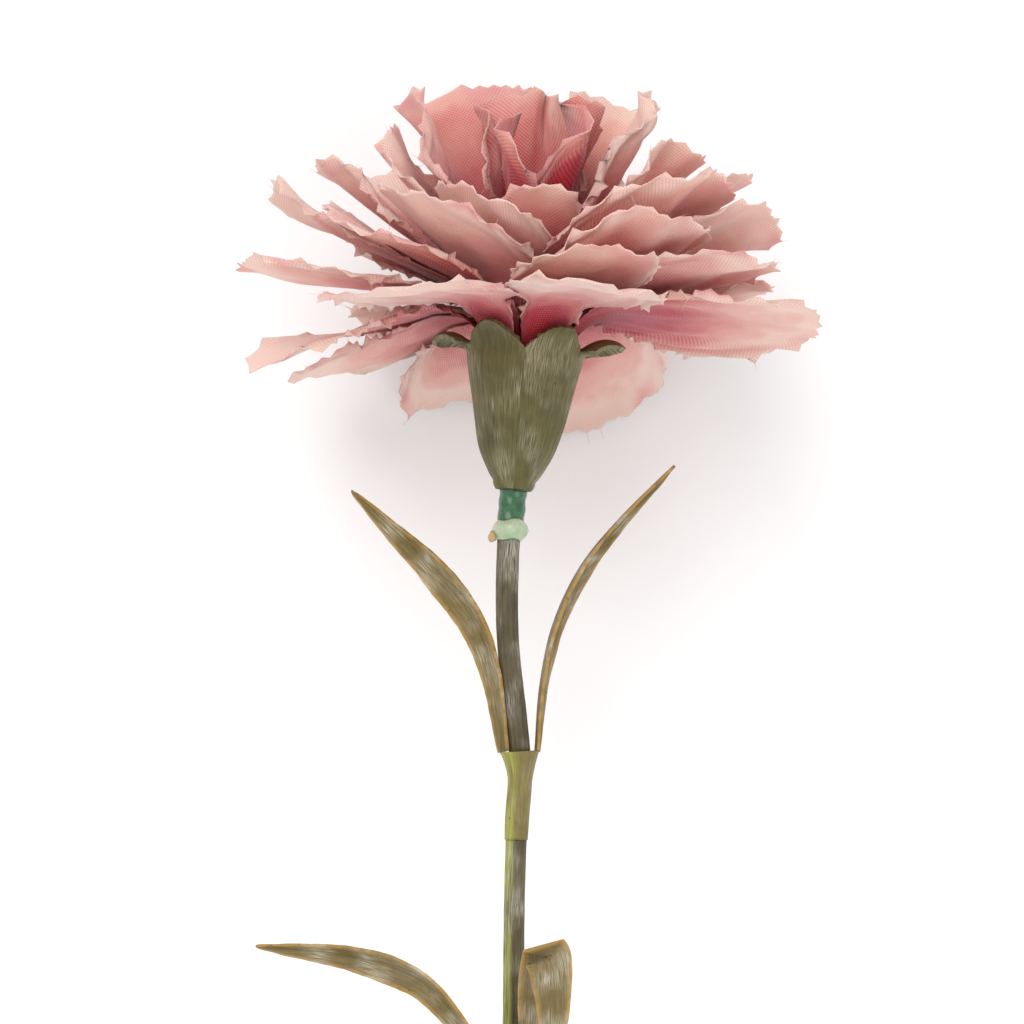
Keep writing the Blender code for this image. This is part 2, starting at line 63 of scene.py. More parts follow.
# ring level, then for each petal: azimuth, length, half width, tilt, tip, cup
# and lean, as in the part, so that each petal lies on its own solid
RINGS = (
    (0.07, ((78, 46.5, 9.0, 0.036, 0.00, 0.00, 0),
            (-165, 48.0, 10.0, 0.036, 0.00, 0.00, 0),
            (-40, 43.0, 7.0, 0.036, 0.00, 0.00, 0))),
    (0.20, ((-138, 52.5, 19.0, 0.042, 0.00, 0.00, 0),
            (134, 52.0, 17.0, 0.042, 0.00, 0.00, 0),
            (2, 36.0, 8.0, 0.042, 0.00, 0.00, 0))),
    (0.31, ((178, 50.0, 16.0, 0.035, 0.00, -0.01, 0),
            (-88, 46.0, 12.0, 0.035, 0.00, -0.01, 0),
            (84, 46.0, 13.0, 0.035, 0.00, -0.01, 0),
            (-30, 38.0, 12.0, 0.042, 0.02, -0.01, 0))),
    (0.43, ((-115, 50.5, 17.0, 0.038, 0.00, -0.02, 0),
            (-48, 41.0, 15.0, 0.038, 0.00, -0.02, 0),
            (62, 46.0, 17.0, 0.038, 0.03, -0.03, 0),
            (108, 50.0, 15.0, 0.038, 0.00, -0.02, 0),
            (158, 48.0, 15.0, 0.038, 0.00, -0.02, 0),
            (-162, 48.0, 14.0, 0.038, 0.00, -0.02, 0))),
    (0.57, ((-96, 52.0, 14.0, 0.038, 0.00, -0.02, 0),
            (-64, 44.0, 12.0, 0.038, 0.00, -0.02, 0),
            (44, 42.0, 13.0, 0.038, 0.02, -0.02, 0),
            (90, 48.0, 15.0, 0.038, 0.00, -0.02, 0),
            (138, 47.0, 15.0, 0.038, 0.00, -0.02, 0),
            (-176, 44.0, 15.0, 0.038, 0.00, -0.02, 0),
            (-136, 46.0, 13.0, 0.038, 0.00, -0.02, 0))),
    (0.75, ((-84, 50.0, 14.0, 0.038, 0.00, -0.03, 0),
            (24, 38.0, 12.0, 0.042, 0.00, -0.02, 0),
            (68, 45.0, 12.0, 0.038, 0.00, -0.02, 0),
            (116, 46.0, 14.0, 0.038, 0.00, -0.02, 0),
            (166, 40.0, 14.0, 0.038, 0.00, -0.02, 0),
            (-144, 44.0, 13.0, 0.038, 0.00, -0.02, 0))),
    (0.93, ((-43, 43.0, 15.0, 0.055, 0.00, -0.03, 0),
            (22, 38.0, 13.0, 0.050, 0.10, -0.03, 0),
            (90, 48.5, 16.0, 0.045, 0.00, -0.03, 0),
            (162, 49.0, 14.0, 0.045, 0.00, -0.03, 0),
            (-164, 47.0, 13.0, 0.045, 0.00, -0.03, 0),
            (-128, 49.5, 8.5, 0.050, 0.00, -0.03, 0),
            (-104, 48.5, 8.5, 0.050, 0.00, -0.03, 0))),
)


# ------------------------------------------------------- laid on the surface
def turned(points, lean=HEAD_LEAN, tilt=HEAD_TILT):
    """Head coordinates in mm (+Y along the axis) to the way the flower lies."""
    a, b = math.radians(lean), math.radians(tilt)
    x, y, z = np.moveaxis(np.asarray(points, float), -1, 0)
    x, y = x * math.cos(a) - y * math.sin(a), x * math.sin(a) + y * math.cos(a)
    y, z = y * math.cos(b) - z * math.sin(b), y * math.sin(b) + z * math.cos(b)
    return np.stack([x, y, z + HEAD_HEIGHT], axis=-1)


def pressed(points):
    """Petals flatten where they meet the surface."""
    points = np.array(points, float)
    low = FLOOR_SOFT - (points[..., 2] - CLOTH)
    points[..., 2] = np.where(
        low > 0, CLOTH + FLOOR_SOFT * np.exp(-low / FLOOR_SOFT), points[..., 2]
    )
    return points


def frame_shift():
    """From the mm coordinates here to the frame's, found from the neck's box."""
    low = np.array(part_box("neck_tape")[0]) / MM
    ring = np.linspace(0, 2 * np.pi, 720)
    rim = [np.stack([r * np.cos(ring), np.full(720, y), r * np.sin(ring)], 1)
           for r, y in ((2.15, NECK_TOP), (2.0, -26.2), (2.0, NECK_BOTTOM))]
    return low - turned(np.vstack(rim)).min(0)


SHIFT = frame_shift()


def to_frame(points):
    return (np.asarray(points, float) + SHIFT) * MM


# --------------------------------------------------------------- petal shape
def opening(phi):
    return np.radians(103.0 - 15.0 * np.cos(phi) - 9.0 * np.sin(phi))


def flow(level, phi, s):
    front = (0.5 + 0.5 * np.cos(phi)) ** 2
    turn = np.maximum(level, 0.0) ** (1.0 - 0.5 * front) * opening(phi) + 0.02
    bend_r = PETAL_BEND / turn
    a = turn * np.clip((s - PETAL_RISE) / PETAL_BEND, 0.0, 1.0)
    out = np.maximum(s - PETAL_RISE - PETAL_BEND, 0.0)
    rho = RING_R0 + RING_R1 * level + bend_r * (1 - np.cos(a)) + out * np.sin(turn)
    y = PETAL_BASE_Y + np.minimum(s, PETAL_RISE) + bend_r * np.sin(a) + out * np.cos(turn)
    return rho, y


def ruffled(level, phi, s):
    grow = np.clip((s - 14.0) / 34.0, 0.0, 1.3) ** 1.5
    return level + grow * (
        0.030 * np.sin(3 * phi + 4 * level + 1.0)
        + 0.030 * np.sin(7 * phi - 5 * level + 0.06 * s + 2.1)
        + 0.012 * np.sin(12 * phi + 8 * level + 0.5)
    )


def unit(v):
    return v / np.maximum(np.linalg.norm(v, axis=-1, keepdims=True), 1e-9)


class Petal:
    """One cut of cloth: a narrow claw that fans out to a rounded pinked edge."""

    def __init__(self, name, ring, level, row, sector, seed):
        self.name, self.ring, self.level, self.sector = name, ring, level, sector
        az, self.length, self.half, self.tilt, self.tip, self.cup, lean = row
        self.phi, self.lean = math.radians(az), math.radians(lean)
        self.rng = random.Random(seed)
        self.seed = self.rng.random()
        self.wave = [(self.rng.uniform(0.10, 0.42), self.rng.uniform(0.06, 0.22),
                      self.rng.uniform(0, 6.3), self.rng.choice((-1, 1))) for _ in range(5)]

    def width(self, s):
        f = np.clip(s / self.length / 0.8, 0.0, 1.0)
        fan = self.half * np.sin(0.5 * np.pi * f) ** 1.1 + 0.4
        around, _ = flow(self.level, self.phi, s)
        free = self.sector + np.maximum(s - SECTOR_END, 0.0) * 0.075
        return np.minimum(fan, around * np.minimum(free, 2.3))

    def end(self, u):
        return self.length * (1 - 0.05 * u**2 - 0.24 * np.abs(u) ** 6)

    def base(self, x, s):
        w = self.width(s)
        u, v = x / w, np.maximum(s / self.length, 0.0)
        around, _ = flow(self.level, self.phi, s)
        phi = self.phi + self.lean * v**2 + x / around
        level = (
            self.level
            + self.tilt * u * np.clip((s - 9.0) / 8.0, 0.0, 1.0)
            + self.tip * v**3
            + self.cup * (u**2 - 0.3) * v**1.5
        )
        rho, y = flow(ruffled(level, phi, s), phi, s)
        return np.stack([rho * np.sin(phi), y, rho * np.cos(phi)], axis=-1)

    def columns(self, n):
        """n + 1 values of u that space the outer edge evenly."""
        u = np.linspace(-1, 1, 801)
        s = self.end(u)
        x = u * self.width(s)
        run = np.concatenate([[0], np.cumsum(np.hypot(np.diff(x), np.diff(s)))])
        return np.interp(np.linspace(0, run[-1], n + 1), run, u)


def petal_rows():
    found = []
    for r, (level, rows) in enumerate(RINGS, 1):
        for k, row in enumerate(rows, 1):
            away = [abs((row[0] - o[0] + 180) % 360 - 180) for o in rows if o is not row]
            found.append(Petal(f"petal_r{r}_{k}", r, level, row, 0.43 * math.radians(min(away)), 100 * r + k))
    return found


# How pale the dye of a petal is against its ring's, and how much violet painted shade it takes
DYE_AND_VIOLET_SHADE = {
    "petal_r1_1": (-0.20, 0.1), "petal_r1_2": (0.02, 0.1), "petal_r1_3": (-0.26, 0.4),
    "petal_r2_1": (0.08, 0.45), "petal_r2_2": (0.10, 0.5), "petal_r3_1": (0.30, 0.1),
    "petal_r3_2": (0.02, 0.3), "petal_r3_4": (0.32, 0.0), "petal_r4_1": (0.14, 0.1),
    "petal_r4_2": (0.20, 0.0), "petal_r4_3": (0.08, 0.1), "petal_r4_4": (0.18, 0.0),
    "petal_r5_1": (0.15, 0.0), "petal_r5_4": (0.20, 0.0), "petal_r6_1": (0.16, 0.0),
    "petal_r6_2": (0.12, 0.1), "petal_r6_3": (0.10, 0.1), "petal_r6_6": (0.22, 0.0),
    "petal_r7_1": (0.28, 0.0), "petal_r7_2": (0.22, 0.0), "petal_r7_3": (0.14, 0.1),
    "petal_r7_4": (0.16, 0.0), "petal_r7_5": (0.22, 0.0), "petal_r7_6": (0.16, 0.0),
    "petal_r7_7": (0.24, 0.0),
}
TOOTH = 0.88            # half the pitch of the pinked edge
DEPTH = 1.0             # depth of its teeth
TOOTH_ROOM = 1.45       # the teeth stand in this much of the cut, inside its outline
NEAR = 3.0              # petals further apart than this are free to wave


def spread(total, step, least):
    return max(least, 2 * int(round(total / step / 2)))


def cloth_grid(p):
    """(points[row, column], shade, violet, length, width in mm) on the CAD petal's surface."""
    shade, violet_shade = DYE_AND_VIOLET_SHADE.get(p.name, (0.10, 0.1))
    length, width = p.length, 2 * p.half
    m, n = spread(length, TOOTH, 30), spread(1.25 * width, TOOTH, 12)
    u = p.columns(n)[None, :]
    s = np.linspace(0, 1, m + 1)[:, None] * (p.end(u) - TOOTH_ROOM)
    w = p.width(s)
    room = np.minimum(TOOTH_ROOM * np.clip((s / length - 0.30) / 0.16, 0, 1), 0.2 * w)
    return turned(p.base(u * (w - room), s)), shade, violet_shade, length, width


def clearances(grids):
    """How far each point of each grid stands from the nearest other petal, in mm."""
    grids = [pressed(g) for g in grids]
    trees, lows, highs = [], [], []
    for g in grids:
        c = g[::2, ::2]
        n = c.shape[1]
        quads = [(i * n + j, i * n + j + 1, i * n + j + n + 1, i * n + j + n)
                 for i in range(c.shape[0] - 1) for j in range(n - 1)]
        trees.append(BVHTree.FromPolygons(c.reshape(-1, 3).tolist(), quads))
        lows.append(g.reshape(-1, 3).min(0) - NEAR)
        highs.append(g.reshape(-1, 3).max(0) + NEAR)
    found = []
    for a, g in enumerate(grids):
        rows = np.unique(np.append(np.arange(0, g.shape[0], 2), g.shape[0] - 1))
        cols = np.unique(np.append(np.arange(0, g.shape[1], 2), g.shape[1] - 1))
        at = g[np.ix_(rows, cols)].reshape(-1, 3)
        best = np.full(len(at), NEAR)
        for b, tree in enumerate(trees):
            if b == a:
                continue
            for i in np.nonzero(((at > lows[b]) & (at < highs[b])).all(1))[0]:
                hit = tree.find_nearest(at[i].tolist(), best[i])
                if hit[0] is not None:
                    best[i] = min(best[i], hit[3])
        some = np.pad(best.reshape(len(rows), len(cols)), 1, "edge")
        some = np.min([some[i : i + len(rows), j : j + len(cols)] for i in range(3) for j in range(3)], axis=0)
        some = np.stack([np.interp(np.arange(g.shape[1]), cols, row) for row in some])
        found.append(np.stack([np.interp(np.arange(g.shape[0]), rows, some[:, j])
                               for j in range(g.shape[1])], axis=1))
    return found


def normals_of(grid):
    du = np.gradient(grid, axis=1)
    dv = np.gradient(grid, axis=0)
    return unit(np.cross(dv, du))


def petal_mesh(p, laid_out, clear):
    """(mesh, flat size, flat area, loose thread roots) of one petal with its pinked edge."""
    grid, shade, violet_shade, length, width = laid_out
    m, n = grid.shape[0] - 1, grid.shape[1] - 1
    v = np.linspace(0, 1, m + 1)[:, None] + np.zeros((1, n + 1))
    u = np.linspace(-1, 1, n + 1)[None, :] + np.zeros((m + 1, 1))
    du = np.linalg.norm(np.diff(grid, axis=1), axis=2)
    dv = np.linalg.norm(np.diff(grid, axis=0), axis=2)
    # distances on the flat cloth, from the middle line
    x = np.concatenate([np.zeros((m + 1, 1)), np.cumsum(du, axis=1)], 1)
    x = x - x[:, n // 2][:, None]
    y = np.concatenate([np.zeros((1, n + 1)), np.cumsum(dv, axis=0)], 0)
    y = y.mean(axis=1, keepdims=True) + np.zeros_like(x)
    # soft waves and pressed creases
    out = normals_of(grid)
    wave = 0.0
    for kx, ks, phase, sign in p.wave:
        wave = wave + 0.16 * np.sin(kx * x * 2.0 + sign * ks * y * 2.0 + phase)
    fan = x / np.maximum(0.35 * length + y, 1.0)
    crease = np.sin(34.0 * fan + 6.3 * p.seed) + 0.5 * np.sin(61.0 * fan + 1.7 + 9 * p.seed)
    rise = wave * np.clip((v - 0.2) / 0.6, 0, 1) ** 1.5 + 0.13 * crease * np.clip((v - 0.25) / 0.3, 0, 1)
    edge_wave = np.sin(1.15 * y + 5 * p.seed) * np.abs(u) ** 5 * np.clip((v - 0.4) / 0.3, 0, 1)
    edge_wave = edge_wave + np.sin(0.95 * x + 3 * p.seed) * np.clip((v - 0.82) / 0.18, 0, 1) ** 2
    rise = rise + 0.50 * edge_wave
    limit = np.clip(0.30 * (clear - 0.36), 1e-4, 0.9)
    rise = limit * np.tanh(rise / limit)
    grid = grid + out * rise[..., None]
    out = normals_of(grid)
    cols = n + 1
    flat = grid.reshape(-1, 3)
    faces = []
    for i in range(m):
        for j in range(n):
            a = i * cols + j
            faces.append((a, a + 1, a + cols + 1, a + cols))
    # the rim: up the left side, along the end and down the right side
    loop = [i * cols for i in range(m + 1)]
    loop += [m * cols + j for j in range(1, cols)]
    loop += [i * cols + n for i in range(m - 1, -1, -1)]
    inner = [i * cols + 1 for i in range(m + 1)]
    inner += [(m - 1) * cols + j for j in range(1, cols)]
    inner += [i * cols + n - 1 for i in range(m - 1, -1, -1)]
    pts = flat[loop]
    way = np.gradient(pts, axis=0)
    away = unit(np.cross(way, out.reshape(-1, 3)[loop]))
    wrong = ((pts - flat[inner]) * away).sum(1) < 0
    away[wrong] *= -1
    vv = v.ravel()[loop]
    deep = np.clip((vv - 0.34) / 0.14, 0, 1)
    k = np.arange(len(loop))
    run = np.concatenate([[0], np.cumsum(np.linalg.norm(np.diff(pts, axis=0), axis=1))])
    slow = 0.5 + 0.28 * np.sin(0.55 * run + 7 * p.seed) + 0.22 * np.sin(1.07 * run + 11 * p.seed)
    jitter = np.array([p.rng.uniform(0.45, 1.15) for _ in loop])
    side = np.array([p.rng.uniform(-0.14, 0.14) for _ in loop])
    free = np.clip((clear.ravel()[loop] - 0.30) / 0.9, 0.12, 1.0)
    deep = deep * free
    reach = 0.04 + (0.05 + 0.40 * slow + 0.78 * DEPTH * (k % 2) * jitter) * deep
    rim = pts + away * reach[:, None] + unit(way) * (side * deep)[:, None]
    first = len(flat)
    for a in range(len(loop) - 1):
        faces.append((loop[a], loop[a + 1], first + a + 1, first + a))
    laid = pressed(np.vstack([flat, rim]))
    corners = laid[np.array(faces)]
    area = 0.5 * sum(float(np.linalg.norm(np.cross(corners[:, i] - corners[:, 0], corners[:, i + 1] - corners[:, 0]),
                                          axis=1).sum()) for i in (1, 2))
    where = to_frame(laid)
    mesh = bpy.data.meshes.new(p.name)
    mesh.from_pydata(where.tolist(), [], faces)
    # places on the flat cloth, for the weave and the dye
    fx = np.concatenate([x.ravel(), x.ravel()[loop] + np.sign(u.ravel()[loop]) * reach * (np.abs(u.ravel()[loop]) > 0.99)])
    fy = np.concatenate([y.ravel(), y.ravel()[loop] + reach * (vv > 0.99)])
    spin = p.rng.uniform(-0.9, 0.9)
    c, q = math.cos(spin), math.sin(spin)
    weave = np.stack([fx * c - fy * q, fx * q + fy * c, np.full(len(fx), 20.0 * p.seed)], 1)
    zone = np.stack([np.concatenate([u.ravel(), u.ravel()[loop] * 1.03]),
                     np.concatenate([v.ravel(), vv + 0.02]), np.full(len(fx), p.seed)], 1)
    # tint: the dye's paleness and the share of violet painted shade
    tint = np.tile([shade, violet_shade, 0.0], (len(fx), 1))
    for label, data in (("weave", weave), ("zone", zone), ("tint", tint)):
        layer = mesh.attributes.new(label, "FLOAT_VECTOR", "POINT")
        layer.data.foreach_set("vector", data.astype(np.float32).ravel())
    bm = bmesh.new()
    bm.from_mesh(mesh)
    bmesh.ops.recalc_face_normals(bm, faces=bm.faces)
    bm.to_mesh(mesh)
    bm.free()
    mesh.shade_smooth()
    tips = [(first + i, loop[i]) for i in range(len(loop)) if k[i] % 2 and deep[i] > 0.8]
    size = (max(float(np.ptp(x)), 10.0), float(y.max()))
    return mesh, size, min(max(area, 0.31 * size[0] * size[1]), 0.98 * size[0] * size[1]), tips, where


# ----------------------------------------------------------------- materials
class Nodes:
    """Short calls for building a node material."""

    def __init__(self, name):
        self.mat = bpy.data.materials.new(name)
        self.mat.use_nodes = True
        self.tree = self.mat.node_tree
        self.shader = self.tree.nodes["Principled BSDF"]

    def link(self, value, socket):
        if isinstance(value, bpy.types.NodeSocket):
            self.tree.links.new(value, socket)
        elif value is not None:
            socket.default_value = value

    def attr(self, name, out="Vector"):
        n = self.tree.nodes.new("ShaderNodeAttribute")
        n.attribute_name = name
        return n.outputs[out]

    def math(self, op, a, b=None, c=None, clamp=False):
        n = self.tree.nodes.new("ShaderNodeMath")
        n.operation, n.use_clamp = op, clamp
        for value, socket in zip((a, b, c), n.inputs):
            self.link(value, socket)
        return n.outputs[0]

    def split(self, vector):
        n = self.tree.nodes.new("ShaderNodeSeparateXYZ")
        self.link(vector, n.inputs[0])
        return n.outputs

    def join(self, x, y, z):
        n = self.tree.nodes.new("ShaderNodeCombineXYZ")
        for value, socket in zip((x, y, z), n.inputs):
            self.link(value, socket)
        return n.outputs[0]

    def noise(self, vector, scale, detail=3.0, rough=0.55, out="Fac"):
        n = self.tree.nodes.new("ShaderNodeTexNoise")
        self.link(vector, n.inputs["Vector"])
        n.inputs["Scale"].default_value = scale
        n.inputs["Detail"].default_value = detail
        n.inputs["Roughness"].default_value = rough
        return n.outputs[out]

    def cells(self, vector, scale, feature="F1"):
        n = self.tree.nodes.new("ShaderNodeTexVoronoi")
        n.feature = feature
        self.link(vector, n.inputs["Vector"])
        n.inputs["Scale"].default_value = scale
        return n.outputs["Distance"]

    def ramp(self, fac, stops, smooth=True):
        n = self.tree.nodes.new("ShaderNodeValToRGB")
        ramp = n.color_ramp
        ramp.interpolation = "EASE" if smooth else "LINEAR"
        while len(ramp.elements) < len(stops):
            ramp.elements.new(0.5)
        for e, (place, colour) in zip(ramp.elements, stops):
            e.position = place
            e.color = (*colour, 1.0) if len(colour) == 3 else colour
        self.link(fac, n.inputs[0])
        return n.outputs[0]

    def span(self, value, lo, hi, to_lo=0.0, to_hi=1.0):
        n = self.tree.nodes.new("ShaderNodeMapRange")
        n.clamp = True
        for v, i in ((value, 0), (lo, 1), (hi, 2), (to_lo, 3), (to_hi, 4)):
            self.link(v, n.inputs[i])
        return n.outputs[0]

    def mix(self, fac, a, b, mode="MIX"):
        n = self.tree.nodes.new("ShaderNodeMix")
        n.data_type, n.blend_type = "RGBA", mode
        self.link(fac, n.inputs[0])
        for value, socket in ((a, n.inputs[6]), (b, n.inputs[7])):
            self.link((*value, 1.0) if isinstance(value, tuple) and len(value) == 3 else value, socket)
        return n.outputs[2]

    def bump(self, height, distance, strength=1.0, normal=None):
        n = self.tree.nodes.new("ShaderNodeBump")
        n.inputs["Strength"].default_value = strength
        n.inputs["Distance"].default_value = distance
        self.link(height, n.inputs["Height"])
        self.link(normal, n.inputs["Normal"])
        return n.outputs[0]

    def finish(self, colour, rough, normal=None, **constants):
        s = self.shader.inputs
        self.link(colour, s["Base Color"])
        self.link(rough, s["Roughness"])
        self.link(normal, s["Normal"])
        for name, value in constants.items():
            s[name.replace("_", " ")].default_value = value
        return self.mat


def cloth_material(name, shift):
    """Woven petal cloth, dyed deep at the claw and pale towards the edge."""
    m = Nodes(name)
    weave, zone = m.attr("weave"), m.attr("zone")
    wx, wy, wz = m.split(weave)
    u, v, seed = m.split(zone)
    shade, violet_shade, _ = m.split(m.attr("tint"))
    # plain weave, 0.39 mm from thread to thread
    turn = math.pi / 0.39
    warp = m.math("ABSOLUTE", m.math("SINE", m.math("MULTIPLY", wx, turn)))
    weft = m.math("ABSOLUTE", m.math("SINE", m.math("MULTIPLY", wy, turn)))
    over = m.math("MULTIPLY", m.math("SINE", m.math("MULTIPLY", wx, turn)),
                  m.math("SINE", m.math("MULTIPLY", wy, turn)))
    over = m.math("GREATER_THAN", over, 0.0)
    high = m.math("ADD", m.math("MULTIPLY", warp, m.math("SUBTRACT", 1.0, over)),
                  m.math("MULTIPLY", weft, over))
    thread = m.math("MULTIPLY", m.math("ADD", warp, weft), 0.5)
    high = m.math("ADD", m.math("MULTIPLY", high, 0.35), m.math("MULTIPLY", thread, 0.65))

    soft = m.noise(weave, 0.075, 3.0, 0.5)
    soft2 = m.noise(weave, 0.20, 4.0, 0.6)
    slub = m.noise(m.join(m.math("MULTIPLY", wx, 3.0), m.math("MULTIPLY", wy, 0.25), wz), 0.8, 2.0)
    tone = m.math("ADD", m.math("SUBTRACT", m.math("MULTIPLY", v, 1.34), 0.38), m.math("MULTIPLY", m.math("SUBTRACT", soft, 0.5), 0.8))
    tone = m.math("ADD", tone, m.math("MULTIPLY", m.math("SUBTRACT", soft2, 0.5), 0.25))
    tone = m.math("ADD", tone, m.math("MULTIPLY", m.math("SUBTRACT", seed, 0.5), 0.16))
    tone = m.math("ADD", m.math("ADD", tone, shift), shade)
    dyed = m.ramp(tone, (
        (0.10, (0.33, 0.010, 0.018)),
        (0.30, (0.40, 0.045, 0.062)),
        (0.47, (0.53, 0.140, 0.135)),
        (0.63, (0.65, 0.250, 0.225)),
        (0.80, (0.74, 0.385, 0.335)),
        (1.00, (0.82, 0.560, 0.490)),
    ))
    # the extreme edge takes more dye in places
    edge = m.math("MAXIMUM", m.span(v, 0.86, 1.0), m.span(m.math("ABSOLUTE", u), 0.84, 1.0))
    patch = m.span(m.noise(weave, 0.11, 2.0), 0.50, 0.66)
    dyed = m.mix(m.math("MULTIPLY", m.math("MULTIPLY", edge, patch), 0.75), dyed, (0.70, 0.290, 0.300))
    # painted shade: a dark violet tone, in patches towards the claw and by each petal's violet share, standing for the
    # shade deep in the folds
    painted_violet_shade = m.math("MULTIPLY", m.span(m.noise(weave, 0.06, 1.0), 0.52, 0.72),
                  m.math("SUBTRACT", 1.0, m.span(v, 0.35, 0.8)))
    painted_violet_shade = m.math("ADD", m.math("MULTIPLY", painted_violet_shade, 0.4), m.math("MULTIPLY", violet_shade, m.span(v, 0.85, 0.45)))
    dyed = m.mix(m.math("MINIMUM", painted_violet_shade, 0.8), dyed, (0.36, 0.095, 0.135))
    # painted shade in the gaps between threads and a painted highlight on the thread crowns
    thread_shade_and_highlight = m.span(high, 0.20, 0.85, m.span(tone, 0.3, 0.8, 0.34, 0.80), m.span(tone, 0.3, 0.8, 1.42, 1.08))
    colour = m.mix(1.0, dyed, m.join(thread_shade_and_highlight, thread_shade_and_highlight, thread_shade_and_highlight), "MULTIPLY")
    rough = m.span(m.noise(weave, 0.9, 2.0), 0.3, 0.7, 0.62, 0.82)
    normal = m.bump(m.math("ADD", high, m.math("MULTIPLY", slub, 0.4)), 0.00006, 0.8)
    mat = m.finish(colour, rough, normal)
    s = m.shader.inputs
    s["Sheen Weight"].default_value = 0.25
    s["Sheen Roughness"].default_value = 0.45
    s["Specular IOR Level"].default_value = 0.25
    s["Subsurface Weight"].default_value = 0.22
    s["Subsurface Scale"].default_value = 0.0012
    s["Subsurface Radius"].default_value = (1.0, 0.45, 0.35)
    return mat


def plastic_material(name, dark, mid, bloom, streak, amount, edge=None, lime=None):
    """Moulded leaf plastic with ribs and a white bloom rubbed into them."""
    m = Nodes(name)
    skin = m.attr("skin")           # mm around, mm along
    zone = m.attr("zone")
    sx, sy, sz = m.split(skin)
    u, v, _ = m.split(zone)
    blotch = m.noise(skin, 0.16, 4.0, 0.6)
    colour = m.mix(m.span(blotch, 0.22, 0.78), dark, mid)
    lined = m.join(m.math("MULTIPLY", sx, streak[0]), m.math("MULTIPLY", sy, streak[1]), sz)
    fibre = m.noise(lined, 1.9, 4.0, 0.5)
    colour = m.mix(m.span(fibre, 0.34, 0.66, 0.0, 0.55), colour, tuple(c * 0.6 for c in dark))
    if lime is not None:
        side = m.math("MULTIPLY", m.span(u, 0.10, 0.45), m.span(m.noise(lined, 0.7, 2.0), 0.35, 0.55))
        colour = m.mix(m.math("MULTIPLY", side, 0.8), colour, lime)
    if edge is not None:
        rim = m.span(m.math("ABSOLUTE", u), 0.70, 0.95)
        rim = m.math("MULTIPLY", rim, m.span(m.noise(skin, 0.5, 3.0), 0.25, 0.55))
        colour = m.mix(rim, colour, edge)
    where = m.span(m.noise(skin, 0.12, 2.0, 0.5), 0.44, 0.74)
    lines = m.span(m.noise(lined, 2.8, 3.0, 0.5), 0.40, 0.66)
    white = m.math("MULTIPLY", m.math("MULTIPLY", where, lines), amount)
    colour = m.mix(white, colour, bloom)
    pits = m.span(m.cells(skin, 0.62), 0.0, 0.13, 1.0, 0.0)
    pits = m.math("MULTIPLY", pits, m.span(m.noise(skin, 0.3, 2.0), 0.52, 0.6))
    colour = m.mix(m.math("MULTIPLY", pits, 0.75), colour, (0.03, 0.025, 0.01))
    grain = m.noise(skin, 3.2, 4.0, 0.6)
    rough = m.math("ADD", m.span(grain, 0.3, 0.7, 0.36, 0.55), m.math("MULTIPLY", white, 0.25))
    height = m.math("ADD", m.math("MULTIPLY", fibre, 1.0), m.math("MULTIPLY", grain, 0.35))
    height = m.math("SUBTRACT", height, m.math("MULTIPLY", pits, 1.2))
    normal = m.bump(height, 0.00018, 0.7)
    mat = m.finish(colour, rough, normal)
    m.shader.inputs["Specular IOR Level"].default_value = 0.42
    return mat


def simple_material(name, a, b, rough, bump_mm, scale, **constants):
    m = Nodes(name)
    g = m.tree.nodes.new("ShaderNodeTexCoord").outputs["Object"]
    n = m.noise(g, scale, 4.0, 0.6)
    colour = m.mix(m.span(n, 0.35, 0.65), a, b)
    fine = m.noise(g, scale * 4, 3.0, 0.6)
    r = m.span(fine, 0.3, 0.7, rough[0], rough[1])
    mat = m.finish(colour, r, m.bump(m.math("ADD", n, m.math("MULTIPLY", fine, 0.4)), bump_mm * MM, 0.6))
    for k, value in constants.items():
        m.shader.inputs[k.replace("_", " ")].default_value = value
    return mat


# -------------------------------------------------------------- mesh helpers
def add(name, mesh, mat, node=None):
    obj = bpy.data.objects.new(name, mesh)
    bpy.context.scene.collection.objects.link(obj)
    obj.data.materials.append(mat)
    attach(obj, "root")
    if node:
        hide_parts(*([node] if isinstance(node, str) else node))
    return obj


def grid_mesh(name, points, around=False, attrs=()):
    """A mesh from points[row, column]; around joins the last column to the first."""
    rows, cols = points.shape[:2]
    faces = []
    last = cols if around else cols - 1
    for i in range(rows - 1):
        for j in range(last):
            k = (j + 1) % cols
            faces.append((i * cols + j, i * cols + k, (i + 1) * cols + k, (i + 1) * cols + j))
    mesh = bpy.data.meshes.new(name)
    mesh.from_pydata(to_frame(points.reshape(-1, 3)).tolist(), [], faces)
    for label, data in attrs:
        layer = mesh.attributes.new(label, "FLOAT_VECTOR", "POINT")
        layer.data.foreach_set("vector", np.asarray(data, np.float32).reshape(-1))
    mesh.shade_smooth()
    return mesh


def capped(mesh):
    """Closes the open ends of a tube."""
    bm = bmesh.new()
    bm.from_mesh(mesh)
    edges = [e for e in bm.edges if len(e.link_faces) == 1]
    bmesh.ops.holes_fill(bm, edges=edges, sides=0)
    bmesh.ops.recalc_face_normals(bm, faces=bm.faces)
    bm.to_mesh(mesh)
    bm.free()
    mesh.shade_smooth()
    return mesh


def facing(mesh):
    bm = bmesh.new()
    bm.from_mesh(mesh)
    bmesh.ops.recalc_face_normals(bm, faces=bm.faces)
    bm.to_mesh(mesh)
    bm.free()
    mesh.shade_smooth()
    return mesh


def wall(obj, thickness, offset=0.0):
    w = obj.modifiers.new("wall", "SOLIDIFY")
    w.thickness, w.offset = thickness * MM, offset
    w.use_even_offset = False
    return w


